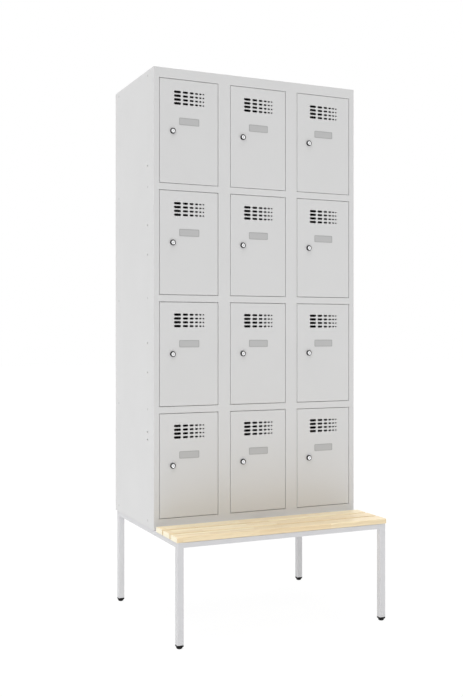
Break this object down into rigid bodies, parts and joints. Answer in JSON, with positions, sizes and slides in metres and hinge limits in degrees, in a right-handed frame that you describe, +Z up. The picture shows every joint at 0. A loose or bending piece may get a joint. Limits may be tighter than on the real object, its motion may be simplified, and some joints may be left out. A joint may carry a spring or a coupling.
{
  "type": "metal locker",
  "caption": "Sheet-steel changing-room locker with a grid of vented, lockable doors, standing on a square-tube base that carries a slatted wooden bench in front.",
  "frame": {"origin": "on the floor, in the middle of the whole object's footprint", "axes": "+Z up; -Y towards the front, where the doors and the bench are; +X to the right of someone facing the doors"},
  "size_m": [0.9, 0.74, 2.19],
  "materials": {
    "cabinet_paint": "light grey powder coat, satin",
    "door_paint": "light grey powder coat, satin",
    "base_paint": "light grey powder coat on welded tube",
    "lock_chrome": "polished",
    "cam_zinc": "zinc plated",
    "bench_wood": "clear-lacquered pale softwood",
    "glide_plastic": "black moulded"
  },
  "bodies": {
    "carcass": {"side_panel_left": "cabinet_paint", "side_panel_right": "cabinet_paint", "top_panel": "cabinet_paint", "bottom_panel": "cabinet_paint", "back_panel": "cabinet_paint", "partition_a": "cabinet_paint", "partition_b": "cabinet_paint", "shelf_a1": "cabinet_paint", "shelf_a2": "cabinet_paint", "shelf_a3": "cabinet_paint", "shelf_b1": "cabinet_paint", "shelf_b2": "cabinet_paint", "shelf_b3": "cabinet_paint", "shelf_c1": "cabinet_paint", "shelf_c2": "cabinet_paint", "shelf_c3": "cabinet_paint", "base_frame": "base_paint", "slat_1": "bench_wood", "slat_2": "bench_wood", "slat_3": "bench_wood", "glide_front_left": "glide_plastic", "glide_front_right": "glide_plastic", "glide_rear_left": "glide_plastic", "glide_rear_right": "glide_plastic"},
    "door_a1": {"door_a1": "door_paint", "lock_body_a1": "lock_chrome"},
    "cam_a1": {"lock_cam_a1": "cam_zinc"},
    "door_a2": {"door_a2": "door_paint", "lock_body_a2": "lock_chrome"},
    "cam_a2": {"lock_cam_a2": "cam_zinc"},
    "door_a3": {"door_a3": "door_paint", "lock_body_a3": "lock_chrome"},
    "cam_a3": {"lock_cam_a3": "cam_zinc"},
    "door_a4": {"door_a4": "door_paint", "lock_body_a4": "lock_chrome"},
    "cam_a4": {"lock_cam_a4": "cam_zinc"},
    "door_b1": {"door_b1": "door_paint", "lock_body_b1": "lock_chrome"},
    "cam_b1": {"lock_cam_b1": "cam_zinc"},
    "door_b2": {"door_b2": "door_paint", "lock_body_b2": "lock_chrome"},
    "cam_b2": {"lock_cam_b2": "cam_zinc"},
    "door_b3": {"door_b3": "door_paint", "lock_body_b3": "lock_chrome"},
    "cam_b3": {"lock_cam_b3": "cam_zinc"},
    "door_b4": {"door_b4": "door_paint", "lock_body_b4": "lock_chrome"},
    "cam_b4": {"lock_cam_b4": "cam_zinc"},
    "door_c1": {"door_c1": "door_paint", "lock_body_c1": "lock_chrome"},
    "cam_c1": {"lock_cam_c1": "cam_zinc"},
    "door_c2": {"door_c2": "door_paint", "lock_body_c2": "lock_chrome"},
    "cam_c2": {"lock_cam_c2": "cam_zinc"},
    "door_c3": {"door_c3": "door_paint", "lock_body_c3": "lock_chrome"},
    "cam_c3": {"lock_cam_c3": "cam_zinc"},
    "door_c4": {"door_c4": "door_paint", "lock_body_c4": "lock_chrome"},
    "cam_c4": {"lock_cam_c4": "cam_zinc"}
  },
  "joints": [
    {"name": "door_a1_hinge", "type": "hinge", "parent": "carcass", "child": "door_a1", "pos_m": [-0.1858, -0.1155, 1.74], "axis": [0, 0, 1], "range_deg": [0, 110]},
    {"name": "lock_a1_turn", "type": "hinge", "parent": "door_a1", "child": "cam_a1", "pos_m": [-0.3715, -0.12, 1.945], "axis": [0, 1, 0], "range_deg": [0, 90]},
    {"name": "door_a2_hinge", "type": "hinge", "parent": "carcass", "child": "door_a2", "pos_m": [-0.1858, -0.1155, 1.304], "axis": [0, 0, 1], "range_deg": [0, 110]},
    {"name": "lock_a2_turn", "type": "hinge", "parent": "door_a2", "child": "cam_a2", "pos_m": [-0.3715, -0.12, 1.509], "axis": [0, 1, 0], "range_deg": [0, 90]},
    {"name": "door_a3_hinge", "type": "hinge", "parent": "carcass", "child": "door_a3", "pos_m": [-0.1858, -0.1155, 0.868], "axis": [0, 0, 1], "range_deg": [0, 110]},
    {"name": "lock_a3_turn", "type": "hinge", "parent": "door_a3", "child": "cam_a3", "pos_m": [-0.3715, -0.12, 1.073], "axis": [0, 1, 0], "range_deg": [0, 90]},
    {"name": "door_a4_hinge", "type": "hinge", "parent": "carcass", "child": "door_a4", "pos_m": [-0.1858, -0.1155, 0.432], "axis": [0, 0, 1], "range_deg": [0, 110]},
    {"name": "lock_a4_turn", "type": "hinge", "parent": "door_a4", "child": "cam_a4", "pos_m": [-0.3715, -0.12, 0.637], "axis": [0, 1, 0], "range_deg": [0, 90]},
    {"name": "door_b1_hinge", "type": "hinge", "parent": "carcass", "child": "door_b1", "pos_m": [0.1162, -0.1155, 1.74], "axis": [0, 0, 1], "range_deg": [0, 110]},
    {"name": "lock_b1_turn", "type": "hinge", "parent": "door_b1", "child": "cam_b1", "pos_m": [-0.0695, -0.12, 1.945], "axis": [0, 1, 0], "range_deg": [0, 90]},
    {"name": "door_b2_hinge", "type": "hinge", "parent": "carcass", "child": "door_b2", "pos_m": [0.1162, -0.1155, 1.304], "axis": [0, 0, 1], "range_deg": [0, 110]},
    {"name": "lock_b2_turn", "type": "hinge", "parent": "door_b2", "child": "cam_b2", "pos_m": [-0.0695, -0.12, 1.509], "axis": [0, 1, 0], "range_deg": [0, 90]},
    {"name": "door_b3_hinge", "type": "hinge", "parent": "carcass", "child": "door_b3", "pos_m": [0.1162, -0.1155, 0.868], "axis": [0, 0, 1], "range_deg": [0, 110]},
    {"name": "lock_b3_turn", "type": "hinge", "parent": "door_b3", "child": "cam_b3", "pos_m": [-0.0695, -0.12, 1.073], "axis": [0, 1, 0], "range_deg": [0, 90]},
    {"name": "door_b4_hinge", "type": "hinge", "parent": "carcass", "child": "door_b4", "pos_m": [0.1162, -0.1155, 0.432], "axis": [0, 0, 1], "range_deg": [0, 110]},
    {"name": "lock_b4_turn", "type": "hinge", "parent": "door_b4", "child": "cam_b4", "pos_m": [-0.0695, -0.12, 0.637], "axis": [0, 1, 0], "range_deg": [0, 90]},
    {"name": "door_c1_hinge", "type": "hinge", "parent": "carcass", "child": "door_c1", "pos_m": [0.4182, -0.1155, 1.74], "axis": [0, 0, 1], "range_deg": [0, 110]},
    {"name": "lock_c1_turn", "type": "hinge", "parent": "door_c1", "child": "cam_c1", "pos_m": [0.2325, -0.12, 1.945], "axis": [0, 1, 0], "range_deg": [0, 90]},
    {"name": "door_c2_hinge", "type": "hinge", "parent": "carcass", "child": "door_c2", "pos_m": [0.4182, -0.1155, 1.304], "axis": [0, 0, 1], "range_deg": [0, 110]},
    {"name": "lock_c2_turn", "type": "hinge", "parent": "door_c2", "child": "cam_c2", "pos_m": [0.2325, -0.12, 1.509], "axis": [0, 1, 0], "range_deg": [0, 90]},
    {"name": "door_c3_hinge", "type": "hinge", "parent": "carcass", "child": "door_c3", "pos_m": [0.4182, -0.1155, 0.868], "axis": [0, 0, 1], "range_deg": [0, 110]},
    {"name": "lock_c3_turn", "type": "hinge", "parent": "door_c3", "child": "cam_c3", "pos_m": [0.2325, -0.12, 1.073], "axis": [0, 1, 0], "range_deg": [0, 90]},
    {"name": "door_c4_hinge", "type": "hinge", "parent": "carcass", "child": "door_c4", "pos_m": [0.4182, -0.1155, 0.432], "axis": [0, 0, 1], "range_deg": [0, 110]},
    {"name": "lock_c4_turn", "type": "hinge", "parent": "door_c4", "child": "cam_c4", "pos_m": [0.2325, -0.12, 0.637], "axis": [0, 1, 0], "range_deg": [0, 90]}
  ]
}
